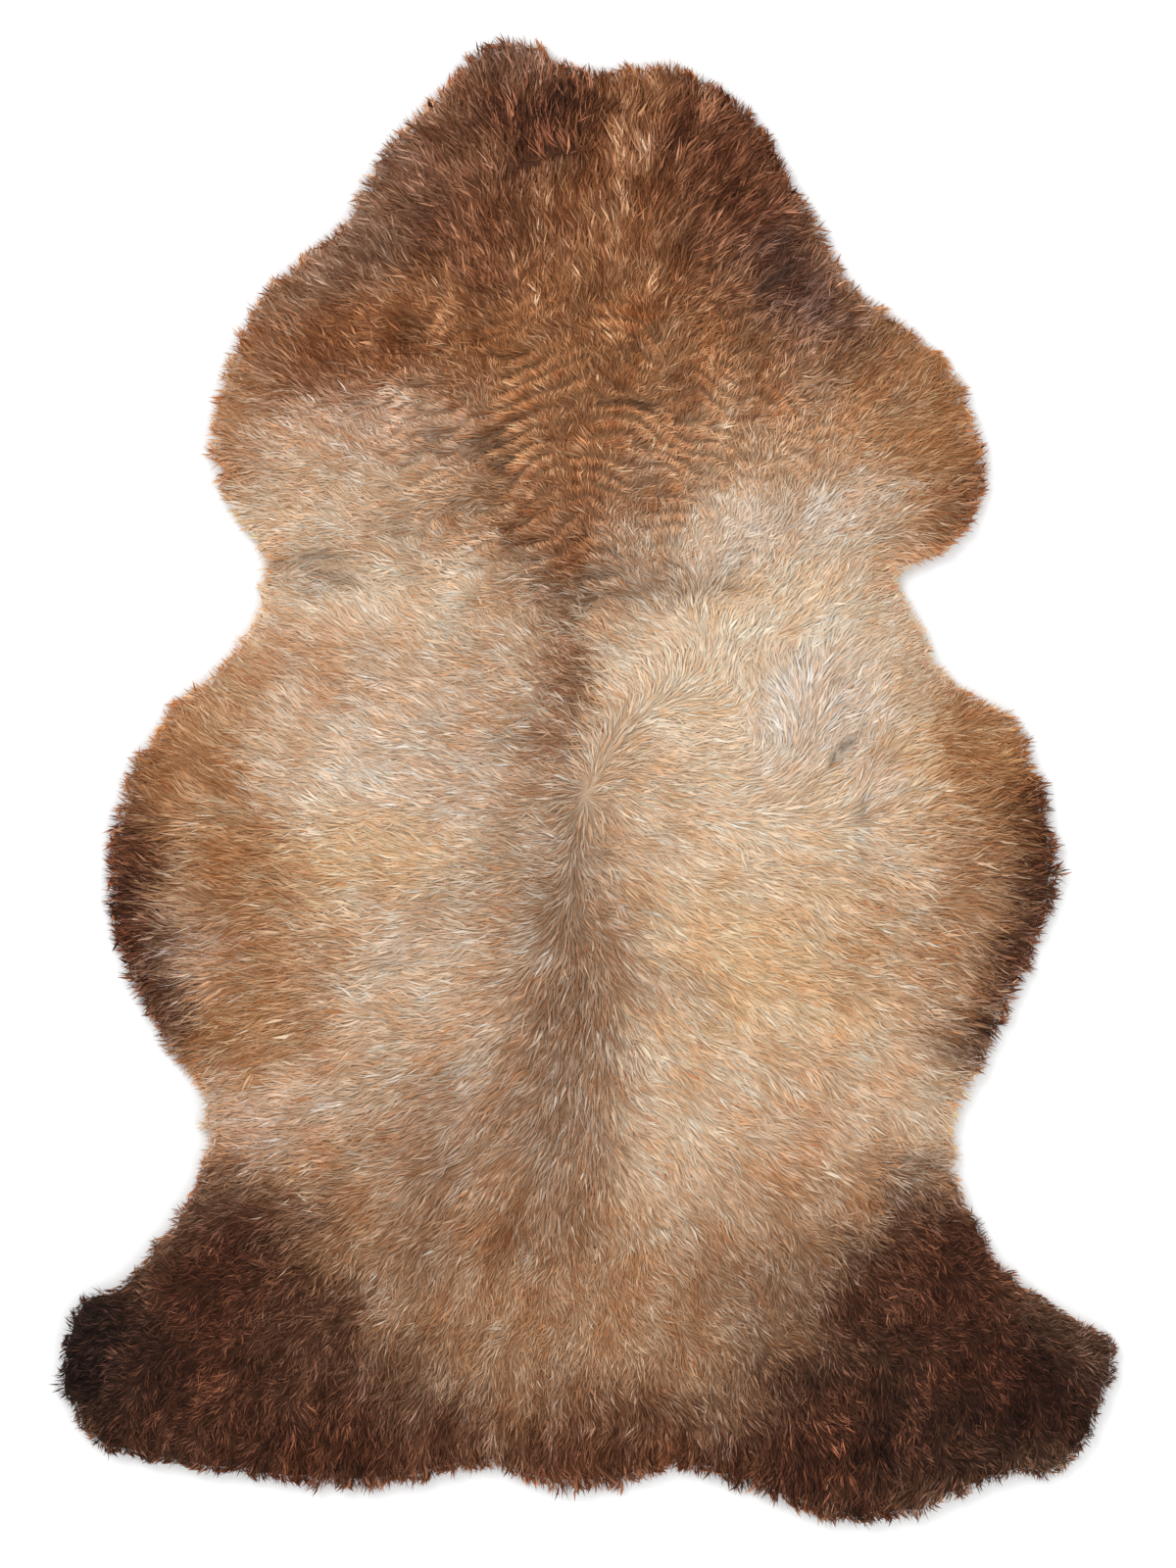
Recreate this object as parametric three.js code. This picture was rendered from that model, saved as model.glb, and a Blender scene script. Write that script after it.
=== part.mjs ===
// A tanned lambskin with its wool on, lying flat with the wool up.
// One solid: a flat hide face below, a lumpy crown of fleece above it, and a rim of tapered wool
// locks that reach out past the hide's cut edge. Millimetres, +Z up, +Y towards the neck.
// The origin is on the floor, under the middle of the skin's bounding box.
import * as THREE from "three";

// Driving dimensions
const PILE_HEIGHT = 28; // wool above the floor in the middle of the skin
const LOCKS = 280; // wool locks round the rim
const LOCK_REACH = 13; // usual length of a lock past the gap beside it
const LOCK_SWAY = 4; // how far a tip leans along the rim, either way
const HIDE_INSET = 15; // the hide's cut edge, inside the outline of the wool
const TIP_HEIGHT = 8; // a lock's tip above the floor
const GAP_HEIGHT = 11; // the gap between two locks
const SHOULDER_INSET = 11; // where a lock leaves the crown
const SHOULDER_RISE = 0.68; // its height there, as a share of the pile
const RIM_ROUNDING = 17; // how fast the fleece rises behind the rim

// The outline of the wool, anticlockwise seen from above, one row for each landmark
const LEFT_SIDE = [
  { at: "neck corner", x: -80, y: 489 },
  { at: "neck edge", x: -103, y: 459 },
  { at: "neck side", x: -137, y: 426 },
  { at: "neck hollow", x: -155, y: 388 },
  { at: "shoulder top", x: -220, y: 327 },
  { at: "foreleg front", x: -245, y: 273 },
  { at: "foreleg end", x: -254, y: 222 },
  { at: "foreleg back", x: -236, y: 180 },
  { at: "armpit", x: -218, y: 149 },
  { at: "behind the armpit", x: -224, y: 118 },
  { at: "waist", x: -239, y: 92 },
  { at: "flank top", x: -283, y: 46 },
  { at: "flank front", x: -305, y: 10 },
  { at: "flank", x: -322, y: -42 },
  { at: "flank back", x: -318, y: -107 },
  { at: "belly end", x: -290, y: -167 },
  { at: "groin", x: -258, y: -218 },
  { at: "thigh top", x: -263, y: -262 },
  { at: "thigh", x: -297, y: -314 },
];
const RUMP = [
  { at: "left hock", x: -322, y: -338 },
  { at: "left leg corner", x: -346, y: -348 },
  { at: "left leg end", x: -358, y: -388 },
  { at: "left leg heel", x: -346, y: -434 },
  { at: "left leg back", x: -322, y: -453 },
  { at: "left breech", x: -240, y: -468 },
  { at: "left breech bulge", x: -150, y: -476 },
  { at: "left of the tail", x: -64, y: -463 },
  { at: "tail left", x: -38, y: -474 },
  { at: "tail right", x: 20, y: -474 },
  { at: "right of the tail", x: 62, y: -464 },
  { at: "right breech", x: 112, y: -477 },
  { at: "right breech bulge", x: 172, y: -499 },
  { at: "right breech end", x: 240, y: -488 },
  { at: "right leg back", x: 282, y: -469 },
  { at: "right leg heel", x: 318, y: -467 },
  { at: "right leg side", x: 340, y: -438 },
  { at: "right leg end", x: 358, y: -381 },
  { at: "right hock", x: 292, y: -335 },
];
const RIGHT_SIDE = [
  { at: "thigh", x: 272, y: -310 },
  { at: "thigh top", x: 249, y: -256 },
  { at: "groin", x: 251, y: -218 },
  { at: "belly end", x: 275, y: -173 },
  { at: "flank back", x: 295, y: -124 },
  { at: "flank", x: 313, y: -80 },
  { at: "flank front", x: 311, y: -24 },
  { at: "flank top", x: 286, y: 42 },
  { at: "waist", x: 246, y: 70 },
  { at: "behind the armpit", x: 220, y: 116 },
  { at: "armpit", x: 211, y: 140 },
  { at: "foreleg back", x: 243, y: 157 },
  { at: "foreleg end", x: 267, y: 193 },
  { at: "foreleg front", x: 257, y: 253 },
  { at: "shoulder top", x: 236, y: 289 },
  { at: "neck hollow", x: 178, y: 336 },
  { at: "neck side", x: 148, y: 387 },
  { at: "neck edge", x: 117, y: 440 },
];
const NAPE = [
  { at: "right corner", x: 100, y: 460 },
  { at: "right", x: 54, y: 482 },
  { at: "middle", x: 0, y: 482 },
  { at: "notch", x: -22, y: 488 },
  { at: "left lobe", x: -38, y: 498 },
  { at: "left lobe end", x: -62, y: 498 },
];

// Locks that stand out further than their neighbours
const STRAY_TUFTS = [
  { at: "left neck side", x: -152, y: 404, more: 11 },
  { at: "left belly", x: -286, y: -179, more: 7 },
  { at: "right hock", x: 290, y: -325, more: 15 },
  { at: "right waist", x: 232, y: 98, more: 6 },
];
const TUFT_HALF_WIDTH = 7;

// The line down the back towards which the rim leans in
const SPINE = { x: -6, neckY: 345, rumpY: -345 };
const NECK_FAN_Y = 440; // past these two lines the rim leans towards the ends of the spine
const RUMP_FAN_Y = -445;
const SPINE_PULL = 0.35; // how far the way inwards turns from the rim's square to the spine
const NORMAL_SPAN = 5; // steps to each side over which the rim's bearing is taken

// The crown starts behind the locks and is a web of points about evenly apart
const CROWN_INSET = 27;
const WEB_PITCH = 15;
const WEB_JITTER = 3; // how far a point of the web is moved either way
const WEB_MARGIN = 9; // the least distance from the crown's rim

// Soft troughs and ridges of the fleece: a negative lift is a trough
const FOLDS = [
  { at: "spine furrow", x: -6, y: -75, long: 520, wide: 34, turn: 90, lift: -4 },
  { at: "shoulder parting", x: 38, y: 122, long: 150, wide: 30, turn: 4, lift: -4 },
  { at: "shoulder ridge", x: 60, y: 165, long: 190, wide: 45, turn: 12, lift: 3 },
  { at: "right whorl", x: 176, y: 18, long: 80, wide: 28, turn: 82, lift: -5 },
  { at: "left armpit crease", x: -186, y: 138, long: 90, wide: 26, turn: 4, lift: -5 },
  { at: "withers parting", x: 28, y: 255, long: 120, wide: 26, turn: -6, lift: -3 },
  { at: "right breech ridge", x: 150, y: -468, long: 130, wide: 26, turn: -20, lift: 3 },
  { at: "left leg ridge", x: -300, y: -395, long: 110, wide: 40, turn: 70, lift: 3 },
];
// Tufts of the fleece: crossed waves, each with its length, bearing and lift
const LUMPS = [
  { wave: 168, turn: 24, lift: 1.5 },
  { wave: 104, turn: 81, lift: 1.4 },
  { wave: 71, turn: -38, lift: 1.1 },
  { wave: 47, turn: 12, lift: 0.9 },
];

const { clamp, degToRad, lerp } = THREE.MathUtils;

// A repeatable number from 0 to 1 for a numbered lock or point, and a purpose
function chance(index, purpose) {
  const wave = Math.sin(index * 12.9898 + purpose * 78.233) * 43758.5453;
  return wave - Math.floor(wave);
}

// The point of the spine towards which an outline point leans in
function spinePoint({ y }) {
  const along =
    y > 0
      ? clamp(y / NECK_FAN_Y, 0, 1) * SPINE.neckY
      : clamp(y / RUMP_FAN_Y, 0, 1) * SPINE.rumpY;
  return new THREE.Vector3(SPINE.x, along, 0);
}

// Steps along the outline, two for each lock: the gap beside it and its middle.
// Each has its point, the way along the rim and the way inwards.
function outlineSteps() {
  const landmarks = [...LEFT_SIDE, ...RUMP, ...RIGHT_SIDE, ...NAPE];
  const corners = landmarks.map(({ x, y }) => new THREE.Vector3(x, y, 0));
  const curve = new THREE.CatmullRomCurve3(corners, true, "centripetal");
  const points = curve.getSpacedPoints(2 * LOCKS).slice(0, 2 * LOCKS);
  return points.map((point, i) => {
    const ahead = points[(i + NORMAL_SPAN) % points.length];
    const behind = points.at(i - NORMAL_SPAN);
    const along = ahead.clone().sub(behind).normalize();
    const toSpine = spinePoint(point).sub(point).normalize();
    const inward = new THREE.Vector3(-along.y, along.x, 0).lerp(toSpine, SPINE_PULL).normalize();
    return { point, along, inward };
  });
}

// A point some millimetres behind the outline; a negative distance is outside it
function inset({ point, inward }, distance) {
  return point.clone().addScaledVector(inward, distance);
}

function foldLift({ x, y }) {
  return FOLDS.reduce((sum, fold) => {
    const turn = degToRad(fold.turn);
    const along = (x - fold.x) * Math.cos(turn) + (y - fold.y) * Math.sin(turn);
    const across = (y - fold.y) * Math.cos(turn) - (x - fold.x) * Math.sin(turn);
    const end = Math.exp(-((2 * along / fold.long) ** 4));
    return sum + fold.lift * end * Math.exp(-((2 * across / fold.wide) ** 2));
  }, 0);
}

function lumpLift({ x, y }) {
  return LUMPS.reduce((sum, { wave, turn, lift }, row) => {
    const bearing = degToRad(turn);
    const along = (x * Math.cos(bearing) + y * Math.sin(bearing)) / wave;
    const across = (y * Math.cos(bearing) - x * Math.sin(bearing)) / wave;
    return sum + lift * Math.sin(2 * Math.PI * along + row) * Math.cos(2 * Math.PI * across);
  }, 0);
}

// Height of the fleece at a point that lies some distance behind the rim
function crownHeight(point, distance) {
  const rise = 1 - Math.exp(-distance / RIM_ROUNDING);
  return rise * (PILE_HEIGHT + foldLift(point) + lumpLift(point));
}

function raised(point, height) {
  return new THREE.Vector3(point.x, point.y, height);
}

// How far a lock's tip stands past the outline
function lockReach({ point }, index) {
  const usual = LOCK_REACH * lerp(0.1, 0.62, chance(index, 1));
  const stray = STRAY_TUFTS.filter(
    ({ x, y }) => Math.hypot(point.x - x, point.y - y) < TUFT_HALF_WIDTH,
  );
  return stray.reduce((sum, { more }) => sum + more, usual);
}

// The cut edge of the hide's flat lower face
function hideRing(edges) {
  return edges.map((edge) => raised(inset(edge, HIDE_INSET), 0));
}

// Gaps and tips by turns: every second point is a lock's tip, which leans along the rim
function tipRing(edges) {
  return edges.map((edge, i) => {
    if (i % 2 === 0) {
      return raised(inset(edge, LOCK_REACH * lerp(0.42, 0.6, chance(i, 2))), GAP_HEIGHT);
    }
    const sway = LOCK_SWAY * (2 * chance(i, 3) - 1);
    const tip = inset(edge, -lockReach(edge, i)).addScaledVector(edge.along, sway);
    return raised(tip, TIP_HEIGHT * lerp(0.6, 1.4, chance(i, 4)));
  });
}

// Where the locks leave the crown: each lock's back is a little higher than the gap beside it
function shoulderRing(edges) {
  return edges.map((edge, i) => {
    const isLock = i % 2 === 1;
    const point = inset(edge, SHOULDER_INSET - (isLock ? 3 : -2));
    const share = SHOULDER_RISE * lerp(0.9, 1.1, chance(i, 5)) * (isLock ? 1 : 0.88);
    return raised(point, PILE_HEIGHT * share);
  });
}

function crownRing(edges) {
  return edges.map((edge) => {
    const point = inset(edge, CROWN_INSET);
    return raised(point, crownHeight(point, 2 * CROWN_INSET));
  });
}

function everySecond(ring) {
  return ring.filter((_, i) => i % 2 === 0);
}

// Whether a point lies inside a closed ring of points, seen from above
function isInside({ x, y }, ring) {
  let inside = false;
  ring.forEach((here, i) => {
    const last = ring.at(i - 1);
    if (here.y > y !== last.y > y) {
      const crossing = lerp(here.x, last.x, (y - here.y) / (last.y - here.y));
      inside = x < crossing ? !inside : inside;
    }
  });
  return inside;
}

// Points of the fleece inside the crown's rim, in staggered rows
function crownWeb(rim) {
  const box = new THREE.Box3().setFromPoints(rim);
  const web = [];
  const rowPitch = WEB_PITCH * Math.sin(Math.PI / 3);
  for (let row = 0, y = box.min.y; y < box.max.y; row++, y += rowPitch) {
    for (let x = box.min.x + (row % 2) * (WEB_PITCH / 2); x < box.max.x; x += WEB_PITCH) {
      const index = row + x;
      const place = new THREE.Vector3(
        x + WEB_JITTER * (2 * chance(index, 6) - 1),
        y + WEB_JITTER * (2 * chance(index, 7) - 1),
        0,
      );
      const gap = Math.min(...rim.map((point) => Math.hypot(point.x - place.x, point.y - place.y)));
      if (gap > WEB_MARGIN && isInside(place, rim)) {
        web.push(raised(place, crownHeight(place, 2 * CROWN_INSET + gap)));
      }
    }
  }
  return web;
}

// A triangle of numbered points with the circle through its corners, seen from above
function circled(points, corners) {
  const [a, b, c] = corners.map((corner) => points[corner]);
  const [bx, by, cx, cy] = [b.x - a.x, b.y - a.y, c.x - a.x, c.y - a.y];
  const twiceArea = 2 * (bx * cy - by * cx);
  const x = (cy * (bx * bx + by * by) - by * (cx * cx + cy * cy)) / twiceArea;
  const y = (bx * (cx * cx + cy * cy) - cx * (bx * bx + by * by)) / twiceArea;
  return { corners, x: a.x + x, y: a.y + y, radius: Math.hypot(x, y) };
}

// The Delaunay web of triangles over points seen from above, each an anticlockwise triple of numbers
function delaunay(places) {
  const count = places.length;
  const far = 1e5;
  const points = [...places, { x: -far, y: -far }, { x: far, y: -far }, { x: 0, y: far }];
  let triangles = [circled(points, [count, count + 1, count + 2])];
  places.forEach(({ x, y }, id) => {
    const border = new Map();
    triangles = triangles.filter((triangle) => {
      if (Math.hypot(x - triangle.x, y - triangle.y) >= triangle.radius) {
        return true;
      }
      const [a, b, c] = triangle.corners;
      for (const [from, to] of [[a, b], [b, c], [c, a]]) {
        if (!border.delete(`${to} ${from}`)) {
          border.set(`${from} ${to}`, [from, to]);
        }
      }
      return false;
    });
    triangles.push(...[...border.values()].map(([from, to]) => circled(points, [from, to, id])));
  });
  return triangles.map(({ corners }) => corners).filter((corners) => Math.max(...corners) < count);
}

// Collects rings of points and the faces between them into one closed surface
class Skin {
  positions = [];
  faces = [];

  addRing(points) {
    const first = this.positions.length / 3;
    points.forEach(({ x, y, z }) => this.positions.push(x, y, z));
    return points.map((point, i) => ({ point, id: first + i }));
  }

  // A band between an outer and an inner ring; the outer one has as many points, or twice as many
  band(outer, inner) {
    const step = outer.length / inner.length;
    inner.forEach((here, i) => {
      const next = inner[(i + 1) % inner.length];
      const side = Array.from({ length: step + 1 }, (_, k) => outer[(i * step + k) % outer.length]);
      for (let k = 0; k < step; k++) {
        this.faces.push(side[k].id, side[k + 1].id, k < step / 2 ? here.id : next.id);
      }
      const middle = side[Math.ceil(step / 2)];
      this.faces.push(here.id, middle.id, next.id);
    });
  }

  // The flat face under a ring
  flatBase(ring) {
    const flat = ring.map(({ point }) => new THREE.Vector2(point.x, point.y));
    for (const [a, b, c] of THREE.ShapeUtils.triangulateShape(flat, [])) {
      this.faces.push(ring[a].id, ring[c].id, ring[b].id);
    }
  }

  // The crown over its rim and the web of points inside it
  crown(rim, web) {
    const all = [...rim, ...web];
    const ring = rim.map(({ point }) => point);
    for (const corners of delaunay(all.map(({ point }) => point))) {
      const [a, b, c] = corners.map((corner) => all[corner].point);
      const middle = { x: (a.x + b.x + c.x) / 3, y: (a.y + b.y + c.y) / 3 };
      if (isInside(middle, ring)) {
        this.faces.push(...corners.map((corner) => all[corner].id));
      }
    }
  }

  toGeometry() {
    const geometry = new THREE.BufferGeometry();
    geometry.setAttribute("position", new THREE.Float32BufferAttribute(this.positions, 3));
    geometry.setIndex(this.faces);
    return geometry;
  }
}

function lambskinGeometry() {
  const edges = outlineSteps();
  const skin = new Skin();
  const hide = skin.addRing(hideRing(edges));
  const tips = skin.addRing(tipRing(edges));
  const shoulders = skin.addRing(shoulderRing(edges));
  const crownRim = crownRing(everySecond(edges));
  const crown = skin.addRing(crownRim);

  skin.flatBase(hide);
  skin.band(hide, tips);
  skin.band(tips, shoulders);
  skin.band(shoulders, crown);
  skin.crown(crown, skin.addRing(crownWeb(crownRim)));

  const geometry = skin.toGeometry();
  geometry.computeBoundingBox();
  const middle = geometry.boundingBox.getCenter(new THREE.Vector3());
  geometry.translate(-middle.x, -middle.y, 0);
  geometry.computeVertexNormals();
  return geometry;
}

const fleece = new THREE.MeshStandardMaterial({ color: 0xa07a56, roughness: 0.95, metalness: 0 });

const part = new THREE.Group();
const lambskin = new THREE.Mesh(lambskinGeometry(), fleece);
lambskin.name = "lambskin";
part.add(lambskin);

export default part;
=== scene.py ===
# A tanned lambskin with its wool on, laid flat on a pale studio floor and seen from straight above.
# The hide is a thin sheet of leather, the underwool a felted body on it, and the fleece about
# 230,000 tapered wool fibres. Tables are in millimetres, with +Y towards the neck, and bearings in
# degrees from +X towards +Y. Meshes are in metres.
import math
from collections import namedtuple

import bpy
import numpy as np
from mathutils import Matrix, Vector
from mathutils.bvhtree import BVHTree
from mathutils.kdtree import KDTree


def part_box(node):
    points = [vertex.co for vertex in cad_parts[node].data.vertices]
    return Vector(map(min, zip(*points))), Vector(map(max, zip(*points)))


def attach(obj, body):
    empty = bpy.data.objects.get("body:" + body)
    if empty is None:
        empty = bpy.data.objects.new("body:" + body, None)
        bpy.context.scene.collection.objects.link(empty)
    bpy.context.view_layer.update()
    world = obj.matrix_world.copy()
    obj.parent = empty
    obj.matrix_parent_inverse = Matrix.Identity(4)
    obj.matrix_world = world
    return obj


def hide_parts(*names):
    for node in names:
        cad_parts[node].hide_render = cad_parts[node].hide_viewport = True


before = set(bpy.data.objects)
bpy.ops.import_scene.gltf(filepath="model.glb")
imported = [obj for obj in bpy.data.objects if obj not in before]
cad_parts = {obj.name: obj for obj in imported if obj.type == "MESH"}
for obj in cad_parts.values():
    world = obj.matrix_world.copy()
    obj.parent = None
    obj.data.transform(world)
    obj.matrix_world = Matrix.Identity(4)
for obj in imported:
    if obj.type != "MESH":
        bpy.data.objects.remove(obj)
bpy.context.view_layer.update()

MM = 0.001
NODE = "lambskin"
BODY = "root"

# Driving sizes, in millimetres
HIDE_THICKNESS = 2.0
UNDERWOOL_VOXEL = 6.0
UNDERWOOL_SHRINK = 3.5  # how far the felted body lies inside the fleece's outer surface
UNDERWOOL_DROP = 2.0  # then lowered, so that it starts inside the hide
UNDERWOOL_FLOOR = 0.8  # its lowest point
TUFT_LIFT = 1.4  # lumps of the underwool
TUFT_WIDTH = 22.0
MATTING_WIDTH = 2.5  # of the fine ridges on the underwool
CLOUD_WIDTH = 60  # of the faint clouds on the suede
NAP_WIDTH = 1.2  # of the suede's nap, coarser than the real one so that it shows
FIBRE_PITCH = 1.3  # between places for fibre roots on the crown
FIBRE_WIDTH = 0.40  # at the thickest, a few real fibres that cling together
FIBRE_ARCH = 0.3  # the least that a fibre's bend stands above the line from its root to its tip
FIBRE_FLOOR = 1.0  # the lowest that a fibre lies
ROOT_LIFT = 0.1  # of fibre roots above the underwool
LOCK_PITCH = 3.6  # between locks, whose fibres lean the same way
WEB_MARGIN = 40.0  # how far maps of the skin reach past it
CREASE_PITCH = 1.0  # between points of the map of partings
GROUND_PITCH = 2.0  # between points of the map of heights
DROP_HEIGHT = 100.0  # from which lines are dropped onto the underwool

# How fibres grow and lean, in shares and degrees
ROOT_JITTER = 0.55  # of the pitch, either way
ROUNDNESS = 0.35  # how far the shading leans over at the sides of a fibre
SHORTEST, LONGEST = 0.55, 1.2  # fibres, of the length in their coat
RIM_SHORTER, RIM_LONGER = 0.2, 0.1  # and how much more uneven they are on the rim
OWN_TURN = 5  # degrees by which the fibres of smooth wool stray
TOUSLED_TURN = 0.5  # and how much more they do so, of the tousle
LOCK_TURN = 1.5  # how far locks turn, of the tousle
LOCK_LIFT = 8  # degrees by which locks stand up
OWN_LIFT = 2.5  # and single fibres
SWAY = 0.05  # of its length, by which a fibre's bend leans aside
SWAY_BACK = 0.6  # of that, by which its tip turns back

# Zones of the fleece, with a piece each
ZONES = ["rump", "hips", "loins", "flanks", "ribs", "shoulders", "neck"]
# Waves that make up a smooth random one
RIPPLES = 9

# The rim, where fibres are shorter and finer, and stand up and outwards
RIM_DENSITY = 0.8  # fibres for each square millimetre
CROWN_SLOPE = 0.9  # the upward part of a normal, above which a root is all crown
RIM_SLOPE = 0.62  # below which the surface counts as rim
STEEP_SLOPE = 0.5  # below which a root is all rim
UNDER_SLOPE = -0.4  # below which the surface faces the floor and bears no fibres
RIM_SHARE = 0.7  # how far fibres reach past the rim, of their length
RIM_RISE = 42  # degrees at which they leave it
RIM_TIP = 14  # degrees at which their tips lie
RIM_PULL = 1.6  # how far its slope turns them outwards, against the lay
RIM_THINNING = 0.6  # how much finer they are

# Wool shades, as sRGB hex
BLACK_BROWN = "281a15"
ESPRESSO = "351d14"
CHOCOLATE = "502e1f"
DARK_CHESTNUT = "633b27"
CHESTNUT = "7c4d2f"
PEAT = "64473b"
COCOA = "876750"
TAUPE = "a1856f"
HAZEL = "8e613f"
GINGER = "a4764e"
TAN = "ab8463"
ROSE = "c8aa93"
FAWN = "c09a7a"
GOLD = "d2af86"
SAND = "d2bba1"
CREAM = "dfcbb2"
SILVER = "d2c5ba"

# Other shades
SUEDE_SHADE = "c9b397"
SUEDE_LIGHT = "e3d6c1"
PAPER = "f7f7f7"

# A shaded fibre loses less red and more blue than green, most of all in pale wool
DEEPENING = np.array([-0.6, 0, 0.6])
# What a golden tint adds and a silvery one takes away
GOLDEN = np.array([0.55, 0, -0.45])
STRAY_ALONG, STRAY_AROUND = 8, 4  # how far off a fibre takes its colour, along the lay and all round
LOCK_SHADE = 0.08  # how far locks differ in shade
OWN_TINT = 0.08  # how far single fibres differ in tint
GUARD_SHARE = 0.1  # of fibres that are darker than the rest
GUARD_SHADE = 0.35  # how much darker, as a logarithm
PALE_GREEN = 0.6  # linear green of wool that has no darkness
DARKEST = 3.2  # the most darkness, a logarithm below that
BRIGHTEST = 0.9  # the most light that a fibre sends back
# Red, green and blue at the root, bend and tip of a fibre, with painted light and shade: the roots of
# pale wool are painted lighter and warmer, as light bounced between the fibres, and dark wool is
# painted darker at its roots, as shade, and paler at its tips, partly faded and partly a painted sheen
PALE_ALONG = np.array([(1.22, 1.12, 0.98), (1.1, 1.06, 1.02), (1.03, 1.0, 0.97)])
DARK_ALONG = np.array([(0.75, 0.75, 0.75), (1.0, 1.0, 1.0), (1.32, 1.22, 1.12)])
# How much brighter the rim's fibres are there, because light comes through the fringe
RIM_GLOW = np.array([(0.0, 0.0, 0.0), (0.6, 0.4, 0.3), (1.2, 0.85, 0.6)])

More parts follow.
